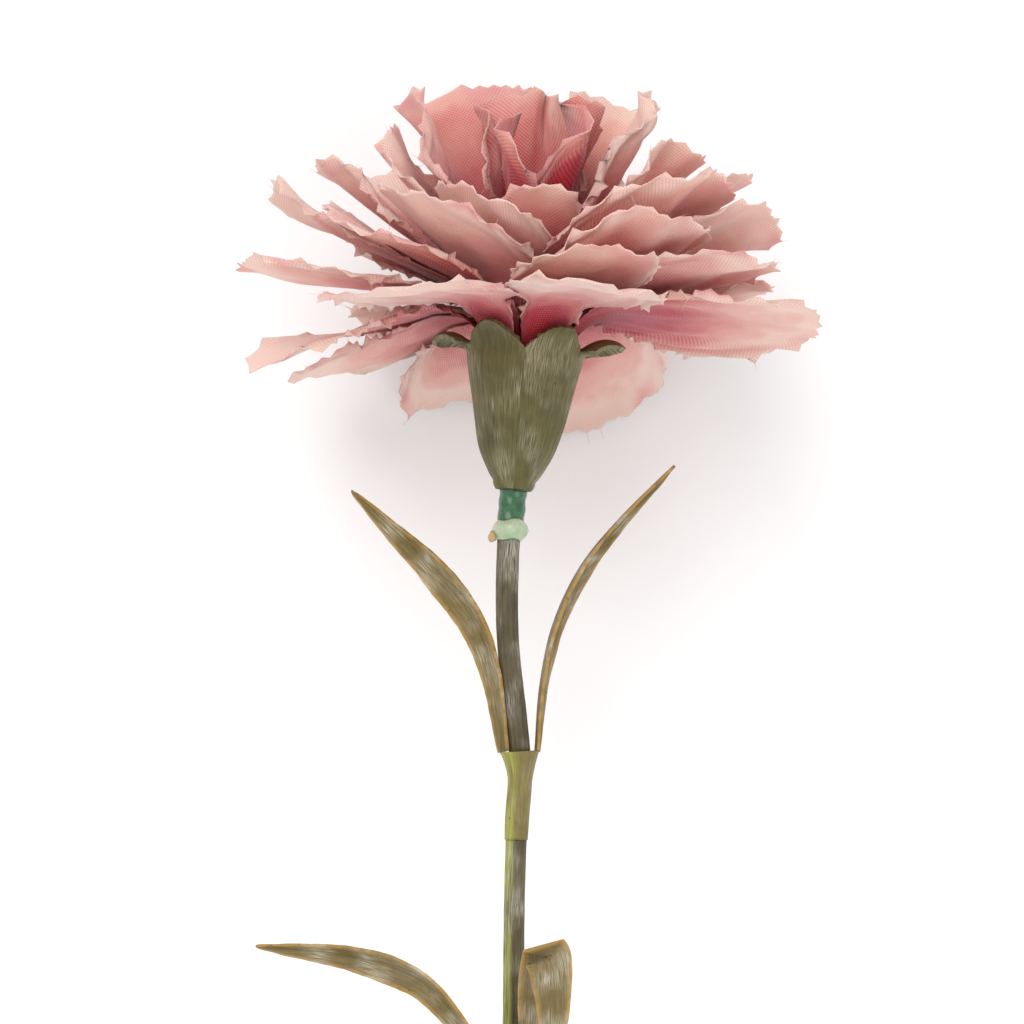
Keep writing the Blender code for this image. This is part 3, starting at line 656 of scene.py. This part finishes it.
def smooth_line(knots, step):
    p = np.array(knots, float)
    p = np.vstack([2 * p[0] - p[1], p, 2 * p[-1] - p[-2]])
    line = []
    for a, b, c, d in zip(p, p[1:], p[2:], p[3:]):
        n = max(2, int(np.linalg.norm(c - b) / step))
        t = np.linspace(0, 1, n, endpoint=False)[:, None]
        line.append(0.5 * (2 * b + (c - a) * t + (2 * a - 5 * b + 4 * c - d) * t**2
                           + (3 * b - a - 3 * c + d) * t**3))
    return np.vstack([*line, p[-2:-1]])


def wobble(x, seed, terms=4, low=0.3, high=2.0):
    """A smooth repeatable wave."""
    rng = random.Random(seed)
    total = 0.0
    for _ in range(terms):
        total = total + rng.uniform(0.4, 1.0) * np.sin(rng.uniform(low, high) * x + rng.uniform(0, 6.3))
    return total / terms


# -------------------------------------------------------------------- petals
def make_petals():
    cloth = {r: cloth_material(f"petal_cloth_ring_{r}", shift) for r, shift in
             zip(range(1, 8), (-0.16, -0.08, -0.06, -0.04, -0.03, -0.02, 0.0))}
    threads = []
    petals = petal_rows()
    laid_out = [cloth_grid(p) for p in petals]
    room = clearances([one[0] for one in laid_out])
    for p, one, clear in zip(petals, laid_out, room):
        mesh, size, area, tips, where = petal_mesh(p, one, clear)
        obj = add(p.name + "_cloth", mesh, cloth[p.ring], p.name)
        wall(obj, 0.16)
        for outer, inner in tips:
            if p.rng.random() < (0.10 if p.ring >= 3 else 0.04):
                threads.append((where[outer] / MM, unit(where[outer] - where[inner]), p.rng.random()))
    make_frays(threads, cloth[7])


def make_frays(threads, mat):
    """Short loose threads at the cut edges, joined into one piece."""
    verts, faces = [], []
    rng = random.Random(5)
    for at, way, seed in threads:
        for _ in range(rng.choice((1, 1, 2))):
            long = rng.uniform(0.5, 1.9)
            bend = np.array([rng.uniform(-1, 1) for _ in range(3)])
            line = []
            start = at - way * 0.7
            for t in np.linspace(0, 1, 5):
                line.append(start + way * (0.7 + long) * t + bend * 0.55 * long * t**2)
            line = np.array(line)
            if line[:, 2].min() < 0.4:
                continue
            first = len(verts)
            r = 0.045
            for i, q in enumerate(line):
                t = line[min(i + 1, 4)] - line[max(i - 1, 0)]
                t = t / np.linalg.norm(t)
                a = np.cross(t, [0.3, 0.5, 0.8])
                a /= np.linalg.norm(a)
                b = np.cross(t, a)
                for k in range(4):
                    c = math.pi / 2 * k
                    verts.append((q + (a * math.cos(c) + b * math.sin(c)) * r * (1 - 0.12 * i)) * MM)
            for i in range(4):
                for k in range(4):
                    k2 = (k + 1) % 4
                    faces.append((first + 4 * i + k, first + 4 * i + k2, first + 4 * i + 4 + k2, first + 4 * i + 4 + k))
            faces.append(tuple(first + k for k in (3, 2, 1, 0)))
            faces.append(tuple(first + 16 + k for k in (0, 1, 2, 3)))
    if verts:
        mesh = bpy.data.meshes.new("frayed_threads")
        mesh.from_pydata([tuple(v) for v in verts], [], faces)
        mesh.shade_smooth()
        hair = simple_material("frayed_thread", (0.80, 0.55, 0.48), (0.62, 0.28, 0.26), (0.6, 0.8), 0.02, 300.0)
        add("frayed_threads", mesh, hair, None)


# --------------------------------------------------------------------- calyx
def make_calyx():
    profile = np.array(CALYX_PROFILE)
    low = smooth_line(np.stack([profile[:, 0], profile[:, 1], 0 * profile[:, 0]], 1), 0.35)
    ys, rs = low[:, 0], low[:, 1]
    # a small collar where the cup sits on the neck
    collar = np.exp(-((ys - (CALYX_BOTTOM + 0.55)) / 0.42) ** 2)
    rs = rs + 0.10 * collar - 0.14 * np.exp(-((ys - (CALYX_BOTTOM + 1.35)) / 0.35) ** 2)
    cup, top, cols = len(ys), 30, 300
    phi0 = 2 * np.pi * np.arange(cols) / cols
    mids = np.radians([a for a, _ in LOBES])
    away = np.abs((phi0 - mids[:, None] + np.pi) % (2 * np.pi) - np.pi)
    lobe = np.argmin(away, axis=0)
    mid, reach = mids[lobe], np.array([b for _, b in LOBES])[lobe]
    off = away.min(axis=0) / math.radians(36)
    tall = 1.6 + (reach - 1.6) * np.cos(0.5 * np.pi * np.clip(off, 0, 1)) ** 0.9
    rows = []
    skin = []
    for i in range(cup + top):
        k = max(0, i - cup + 1) / top
        d = k * tall
        narrow = 1 - 0.3 * (d / reach) ** 2
        phi = mid + ((phi0 - mid + np.pi) % (2 * np.pi) - np.pi) * narrow
        if i < cup:
            rho, y = np.full(cols, rs[i]), np.full(cols, ys[i])
        else:
            s = PETAL_RISE + d
            a, b = flow(1.0, phi, s - 0.05), flow(1.0, phi, s + 0.05)
            run = np.hypot(b[0] - a[0], b[1] - a[1])
            rho, y = flow(1.0, phi, s)
            wide = np.clip((np.abs(mid) - 1.2) / 0.5, 0, 1) * np.clip((2.4 - np.abs(mid)) / 0.4, 0, 1)
            drop = LOBE_DROP + (2.6 * wide * k**1.4) + 0.35 * k**2 * np.sin(3.1 * mid + 5 * off)
            rho = rho + drop * (b[1] - a[1]) / run
            y = y - drop * (b[0] - a[0]) / run
        # ribs, and a shallow groove running down from each notch
        fade = np.clip((y - CALYX_BOTTOM - 1.5) / 6.0, 0, 1)
        rib = 0.055 * np.sin(46 * phi0 + 1.2 * np.sin(3 * phi0)) + 0.045 * np.sin(71 * phi0 + 2.0)
        groove = 0.20 * np.exp(-((1 - off) / 0.10) ** 2) * np.clip((y + 15) / 12, 0, 1)
        lump = 0.10 * np.sin(2 * phi0 + 0.4 * y) + 0.06 * np.sin(5 * phi0 - 0.5 * y)
        rho = rho + fade * (rib - groove) + 0.8 * lump * np.clip(fade, 0.2, 1)
        rows.append(np.stack([rho * np.sin(phi), y, rho * np.cos(phi)], 1))
        skin.append(np.stack([phi0 * 7.0, y + (0 * phi0), 0 * phi0], 1))
    pts = turned(np.array(rows))
    zone = np.zeros((cup + top, cols, 3))
    zone[..., 1] = np.linspace(0, 1, cup + top)[:, None]
    mesh = grid_mesh("calyx", pts, True, (("skin", np.array(skin)), ("zone", zone)))
    facing(mesh)
    centre = Vector(to_frame(turned([[0, -20, 0]]))[0])
    f = mesh.polygons[0]
    if f.normal.dot(f.center - centre) < 0:
        mesh.flip_normals()
    mat = plastic_material("calyx_olive", (0.066, 0.056, 0.013), (0.165, 0.140, 0.034),
                           (0.56, 0.52, 0.36), (2.6, 0.14), 0.75)
    obj = add("calyx", mesh, mat, "calyx_cup")
    wall(obj, 0.7, -1.0)
    bevel = obj.modifiers.new("rim", "BEVEL")
    bevel.width, bevel.segments, bevel.limit_method, bevel.angle_limit = 0.12 * MM, 2, "ANGLE", math.radians(50)


# ---------------------------------------------------------------------- stem
def stem_line():
    top = turned([0.0, CALYX_BOTTOM, 0.0])
    below = turned([0.0, BEAD_BOTTOM - 2.0, 0.0])
    end_z = STEM_END_R + 0.05
    knots = [top, below]
    for y, x in ((-46, -2.9), (NODE_1_Y, -1.1), (-74, -1.6), (-90, -2.0),
                 (NODE_2_Y, -2.0), (-160, -0.6), (-210, 1.4), (-265, 1.6), (STEM_END_Y, 0.4)):
        t = (below[1] - y) / (below[1] - STEM_END_Y)
        sag = 2.2 * math.sin(math.pi * t) * (1 - 0.4 * t)
        knots.append([x, y, below[2] + (end_z - below[2]) * t - sag])
    return smooth_line(knots, 1.5)


LINE = stem_line()


def stem_at(y):
    ys = LINE[:, 1]
    return np.stack([np.interp(-np.asarray(y, float), -ys, LINE[:, k]) for k in range(3)], axis=-1)


def frames(line):
    along = unit(np.gradient(line, axis=0))
    side = unit(np.cross(along, [0.0, 0.0, 1.0]))
    return along, side, np.cross(side, along)


def ribbed_tube(name, y0, y1, radius, ribs, deep, seed, step=0.8, cols=96, twist=0.0):
    n = int((y0 - y1) / step) + 1
    ys = np.linspace(y0, y1, n)
    line = stem_at(ys)
    along, side, up = frames(line)
    a = 2 * np.pi * np.arange(cols) / cols
    r = np.array([radius(y) for y in ys])[:, None]
    turn = a[None, :] + twist * (ys[:, None] - y0)
    wave = np.abs(np.sin(0.5 * ribs * turn + 0.3 * np.sin(2 * turn))) ** 0.6
    fade = np.clip(np.minimum(y0 - ys, ys - y1) / 1.0, 0.25, 1.0)[:, None]
    r = r * (1 - deep * (1 - wave) * fade)
    r = r + 0.04 * wobble(ys[:, None] * 0.9 + 2 * np.sin(a)[None, :], seed)
    pts = (line[:, None, :] + side[:, None, :] * (r * np.cos(a))[..., None]
           + up[:, None, :] * (r * np.sin(a))[..., None])
    skin = np.zeros((n, cols, 3))
    skin[..., 0] = (1.7 * a)[None, :]
    skin[..., 1] = ys[:, None]
    zone = np.zeros((n, cols, 3))
    zone[..., 0] = np.cos(a)[None, :] * -1.0 if False else np.cos(a)[None, :]
    zone[..., 1] = np.linspace(0, 1, n)[:, None]
    mesh = grid_mesh(name, pts, True, (("skin", skin), ("zone", zone)))
    return capped(mesh)


LEAVES = (
    ("leaf_upper_left", ((-3.6, -61.6, 32.6), (-5.2, -51.0, 33.2), (-8.2, -43.0, 33.8),
                         (-14.0, -35.5, 35.0), (-20.5, -29.3, 35.6), (-26.6, -23.2, 35.4)),
     2.7, (38, 10), 28),
    ("leaf_upper_right", ((1.5, -61.6, 32.2), (2.2, -52.5, 31.8), (4.2, -43.0, 30.6),
                          (8.4, -34.0, 29.8), (14.5, -26.5, 29.6), (22.6, -18.6, 30.6)),
     2.4, (-82, -66), 34),
    ("leaf_lower_left", ((-3.6, -115.0, 26.2), (-6.4, -109.0, 27.4), (-10.5, -102.5, 28.6),
                         (-16.5, -96.6, 28.6), (-26.0, -93.2, 27.4), (-41.0, -91.4, 25.6)),
     2.9, (60, 18), 30),
    ("leaf_lower_right", ((0.6, -115.5, 27.0), (1.0, -107.0, 29.5), (1.6, -98.4, 34.0),
                          (2.8, -94.2, 38.2), (3.6, -97.0, 42.2), (3.8, -105.0, 43.4),
                          (3.0, -114.5, 41.0)),
     3.6, (-30, 0), 12),
)


def leaf_points(knots, half, faces, fold, columns, rows, seed):
    line = smooth_line(knots, 0.5)
    run = np.concatenate([[0], np.cumsum(np.linalg.norm(np.diff(line, axis=0), axis=1))])
    want = np.linspace(0, run[-1], rows + 1)
    line = np.stack([np.interp(want, run, line[:, k]) for k in range(3)], axis=1)
    along = unit(np.gradient(line, axis=0))
    side = np.cross(along, [0.0, 0.0, 1.0])
    for i in range(rows + 1):
        if i and side[i] @ side[i - 1] < 0:
            side[i] = -side[i]
    weak = np.linalg.norm(side, axis=1)
    for i in range(1, rows + 1):
        if weak[i] < 0.35:
            side[i] = side[i - 1] - along[i] * (side[i - 1] @ along[i])
    side = unit(side)
    up = np.cross(side, along)
    t = np.linspace(0, 1, rows + 1)
    turn = np.radians(faces[0] + (faces[1] - faces[0]) * t)[:, None]
    side, up = side * np.cos(turn) + up * np.sin(turn), up * np.cos(turn) - side * np.sin(turn)
    broad = half * (0.42 + 0.58 * np.sin(np.pi * np.clip(t / 0.62, 0, 1) / 2) ** 1.2)
    broad *= np.clip((1.0 - t) / 0.42, 0, 1) ** 0.75 * 0.97 + 0.03
    c = np.linspace(-1, 1, columns + 1)
    f = math.radians(fold)
    w = broad[:, None] * c[None, :]
    w = w * (1 + 0.035 * wobble(want[:, None] * 1.1 + 3 * np.sign(c)[None, :], seed, 5, 0.4, 2.6))
    # a rounded channel along the midrib, flattening towards the edges
    lift = np.sqrt(w**2 + 0.25) - 0.5
    rib = 0.16 * np.exp(-((w / 0.35) ** 2))
    wave = 0.12 * wobble(want[:, None] * 0.8 + 2.0 * c[None, :], seed + 9, 4, 0.4, 1.6) * np.abs(c)[None, :] ** 2
    veins = 0.035 * np.cos(2 * np.pi * w / 0.62) * (1 - np.abs(c)[None, :] ** 4)
    height = lift * math.sin(f) - rib + wave + veins
    pts = line[:, None, :] + side[:, None, :] * (w * math.cos(f))[..., None] + up[:, None, :] * height[..., None]
    skin = np.zeros((*w.shape, 3))
    skin[..., 0], skin[..., 1] = w, want[:, None]
    zone = np.zeros((*w.shape, 3))
    zone[..., 0], zone[..., 1] = c[None, :], t[:, None]
    return pts, skin, zone


def make_stem():
    top_y = turned([0, BEAD_BOTTOM - GAP, 0])[1]

    def stem_r(y):
        return STEM_TOP_R + (STEM_END_R - STEM_TOP_R) * min(1.0, (top_y - y) / 40.0)

    bark = plastic_material("stem_bark", (0.050, 0.036, 0.018), (0.175, 0.140, 0.065),
                            (0.64, 0.61, 0.52), (3.4, 0.16), 1.0)
    bark_lime = plastic_material("stem_bark_lime", (0.055, 0.040, 0.018), (0.185, 0.150, 0.065),
                                 (0.66, 0.63, 0.54), (3.4, 0.16), 1.0, lime=(0.34, 0.36, 0.050))
    leafy = plastic_material("leaf_olive", (0.130, 0.088, 0.022), (0.290, 0.215, 0.075),
                             (0.68, 0.65, 0.55), (2.4, 0.14), 1.0, edge=(0.37, 0.215, 0.045))
    sleeve = plastic_material("sleeve_olive", (0.165, 0.125, 0.030), (0.270, 0.225, 0.055),
                              (0.58, 0.56, 0.42), (2.8, 0.16), 0.55, lime=(0.35, 0.37, 0.065))
    for name, y0, y1, mat in (
        ("stem_upper", top_y + 0.4, NODE_1_Y + 0.4, bark),
        ("stem_middle", NODE_1_Y - SLEEVE + 0.6, NODE_2_Y + 0.4, bark_lime),
        ("stem_lower", NODE_2_Y - SLEEVE + 0.6, STEM_END_Y, bark),
    ):
        mesh = ribbed_tube(name, y0, y1, stem_r, 11, 0.13, len(name), 0.9 if name != "stem_lower" else 1.4)
        add(name + "_ribbed", mesh, mat, name)

    for k, (name, y) in enumerate((("leaf_sleeve_upper", NODE_1_Y), ("leaf_sleeve_lower", NODE_2_Y))):
        def sleeve_r(at, y=y):
            down = y + 0.7 - at
            return 1.86 + 1.15 * max(0.0, 1 - down / 4.6) ** 1.5 - 0.10 * max(0.0, (down - 9.5) / 4.0)
        mesh = ribbed_tube(name, y + 0.7, y - SLEEVE, sleeve_r, 9, 0.07, 40 + k, 0.5)
        add(name + "_moulded", mesh, sleeve, name)

    for k, (name, knots, half, faces, fold) in enumerate(LEAVES):
        knots = [tuple(np.array(knots[0]) + (np.array(knots[0]) - np.array(knots[1])) * 0.10), *knots]
        pts, skin, zone = leaf_points(knots, half, faces, fold, 24, 110, 60 + k)
        mesh = facing(grid_mesh(name, pts, False, (("skin", skin), ("zone", zone))))
        obj = add(name + "_moulded", mesh, leafy, name)
        wall(obj, 0.45)
        bevel = obj.modifiers.new("rim", "BEVEL")
        bevel.width, bevel.segments, bevel.limit_method, bevel.angle_limit = 0.10 * MM, 2, "ANGLE", math.radians(50)


# -------------------------------------------------------------- neck and glue
def make_neck():
    steel = simple_material("wire_steel", (0.55, 0.55, 0.56), (0.42, 0.42, 0.43), (0.25, 0.45), 0.02, 900.0, Metallic=1.0)
    plug = simple_material("plug_red", (0.40, 0.05, 0.07), (0.25, 0.03, 0.05), (0.45, 0.6), 0.05, 400.0)
    for node, mat in (("stem_wire", steel), ("petal_plug", plug)):
        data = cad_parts[node].data
        data.materials.clear()
        data.materials.append(mat)
    green = simple_material("neck_green", (0.012, 0.075, 0.026), (0.030, 0.130, 0.050), (0.16, 0.34), 0.10, 700.0, Coat_Weight=0.35, Coat_Roughness=0.12)
    # the wrap: a short tube with soft turns of tape
    rows, cols = 26, 64
    ys = np.linspace(NECK_TOP + 0.2, NECK_BOTTOM - 0.1, rows)
    a = 2 * np.pi * np.arange(cols) / cols
    r = 2.03 + 0.06 * np.sin(ys[:, None] * 2.6 + a[None, :]) + 0.05 * wobble(ys[:, None] + 2 * np.cos(a)[None, :], 3)
    r = r + 0.10 * np.exp(-((ys[:, None] - NECK_TOP) / 0.6) ** 2)
    pts = turned(np.stack([r * np.sin(a), np.broadcast_to(ys[:, None], r.shape), r * np.cos(a)], -1))
    add("neck_wrap", capped(grid_mesh("neck_wrap", pts, True)), green, "neck_tape")
    # the bead: a lumpy ring of set glue
    glue = simple_material("glue_green", (0.36, 0.47, 0.31), (0.45, 0.54, 0.38), (0.14, 0.30), 0.10, 500.0, Subsurface_Weight=0.5, Subsurface_Scale=0.002, Coat_Weight=0.3, Coat_Roughness=0.1)
    rows, cols = 40, 72
    t = np.linspace(0, 1, rows)
    a = 2 * np.pi * np.arange(cols) / cols
    y = -28.35 - 3.0 * t
    bulge = 2.0 + 0.85 * np.sin(np.pi * np.clip(t * 1.05, 0, 1)) ** 0.8
    r = bulge[:, None] * (1 + 0.06 * np.sin(2 * a + 0.7)[None, :] + 0.035 * np.sin(5 * a + 3 * t[:, None]))
    r = np.where(t[:, None] > 0.98, 1.7, r)
    yy = y[:, None] + 0.22 * np.sin(a + 1.0)[None, :] + 0.12 * np.sin(3 * a)[None, :]
    pts = turned(np.stack([r * np.sin(a), yy, r * np.cos(a)], -1))
    add("glue_ring", capped(grid_mesh("glue_ring", pts, True)), glue, "glue_bead")
    amber = simple_material("glue_amber", (0.38, 0.26, 0.10), (0.46, 0.36, 0.18), (0.12, 0.25), 0.05, 600.0, Subsurface_Weight=0.4, Subsurface_Scale=0.002)
    bm = bmesh.new()
    bmesh.ops.create_icosphere(bm, subdivisions=4, radius=1.0)
    at = turned([-2.55, -31.0, 1.0])
    for v in bm.verts:
        q = np.array(v.co)
        q = q * np.array([0.62, 0.85, 0.62]) * (1 + 0.10 * math.sin(4 * q[0] + 3 * q[1]))
        v.co = Vector(to_frame(at + q))
    mesh = bpy.data.meshes.new("glue_drop")
    bm.to_mesh(mesh)
    bm.free()
    mesh.shade_smooth()
    add("glue_drop", mesh, amber, None)


make_petals()
make_calyx()
make_stem()
make_neck()

# ------------------------------------------------------------- camera, light
scene = bpy.context.scene
O = Vector(to_frame(turned([0.0, 0.0, 0.0])))
lean = math.radians(10.0)
back = Vector((0, -math.sin(lean), math.cos(lean)))
up = Vector((0, math.cos(lean), math.sin(lean)))
right = Vector((1, 0, 0))
camera = bpy.data.objects.new("camera", bpy.data.cameras.new("camera"))
scene.collection.objects.link(camera)
camera.data.lens, camera.data.sensor_width = 200, 36
distance = 0.155 * 200 / 36
px = 0.155 / 1024
target = O - right * (15 * px) - up * (177 * px)
m = Matrix((right, up, back)).transposed().to_4x4()
m.translation = target + back * distance
camera.matrix_world = m
camera.data.clip_start, camera.data.clip_end = 0.01, 20
scene.camera = camera

floor_mesh = bpy.data.meshes.new("floor")
bm = bmesh.new()
bmesh.ops.create_grid(bm, x_segments=2, y_segments=2, size=3.0)
bm.to_mesh(floor_mesh)
bm.free()
floor = bpy.data.objects.new("floor", floor_mesh)
floor.location = (0, 0, -0.0001)
scene.collection.objects.link(floor)
pale = Nodes("floor_pale")
coord = pale.tree.nodes.new("ShaderNodeTexCoord").outputs["Object"]
tone = pale.mix(pale.noise(coord, 3.0), (0.93, 0.93, 0.93), (0.95, 0.95, 0.95))
floor.data.materials.append(pale.finish(tone, 0.9))

world = bpy.data.worlds.new("studio")
world.use_nodes = True
world.node_tree.nodes["Background"].inputs[0].default_value = (1, 1, 1, 1)
world.node_tree.nodes["Background"].inputs[1].default_value = 0.84
scene.world = world


def area_light(name, place, aim, size, energy):
    data = bpy.data.lights.new(name, "AREA")
    data.shape, data.size, data.energy = "DISK", size, energy
    obj = bpy.data.objects.new(name, data)
    obj.location = place
    obj.rotation_euler = (Vector(aim) - Vector(place)).to_track_quat("-Z", "Y").to_euler()
    scene.collection.objects.link(obj)


area_light("key", (-0.7, 1.1, 2.0), (0, 0.10, 0.03), 1.9, 26.0)
area_light("fill", (0.9, -1.3, 1.5), (0, 0.12, 0.03), 1.6, 11.0)
scene.view_settings.view_transform = "Standard"
